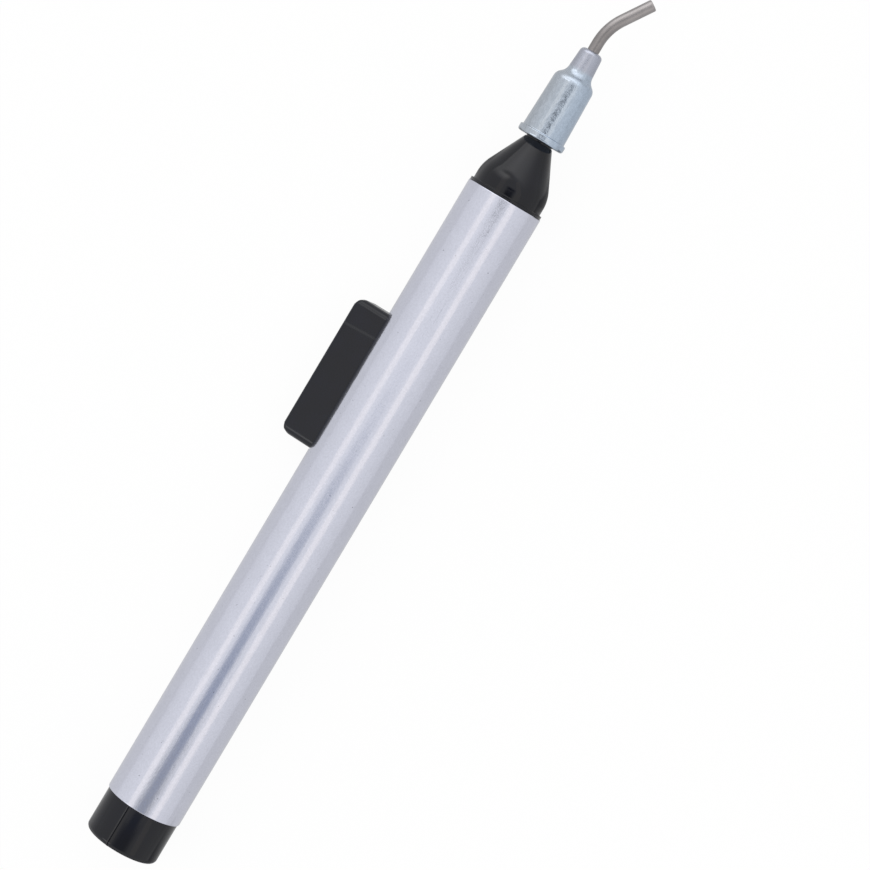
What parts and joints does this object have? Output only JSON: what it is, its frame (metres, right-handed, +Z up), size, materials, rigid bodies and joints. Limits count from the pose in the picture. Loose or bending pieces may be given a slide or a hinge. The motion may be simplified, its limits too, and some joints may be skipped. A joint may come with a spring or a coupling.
{
  "type": "vacuum pick up pen",
  "caption": "Pen-shaped suction tool with an aluminium tube, a side button over a rubber bulb, and a bent hollow needle on a swivelling slip-taper hub.",
  "frame": {"origin": "on the table, under the middle of the pen's box as it lies", "axes": "+X along the pen from its tail to its needle, +Y to the side that the button stands out of, +Z up from the table"},
  "size_m": [0.1461, 0.0172, 0.012],
  "materials": {
    "satin_aluminium": "satin, drawn along the tube",
    "black_plastic": "moulded, semi-matte",
    "button_plastic": "moulded, semi-matte",
    "plated_hub": "plated, slightly mottled",
    "needle_steel": "satin stainless",
    "bulb_rubber": "matte"
  },
  "bodies": {
    "pen_body": {"barrel": "satin_aluminium", "tail_plug": "black_plastic", "nose_cone": "black_plastic", "squeeze_bulb": "bulb_rubber"},
    "button": {"push_button": "button_plastic"},
    "needle": {"needle_hub": "plated_hub", "needle_tube": "needle_steel"}
  },
  "joints": [
    {"name": "button_press", "type": "slide", "parent": "pen_body", "child": "button", "axis": [0, -0.9473, 0.3204], "range_m": [0, 0.004], "stiffness_N_per_m": 800, "springref_m": -0.001, "deforming": ["squeeze_bulb"]},
    {"name": "needle_swivel", "type": "hinge", "parent": "pen_body", "child": "needle", "pos_m": [0.04741, -0.00255, 0.006], "axis": [1, 0, 0], "continuous": true}
  ]
}
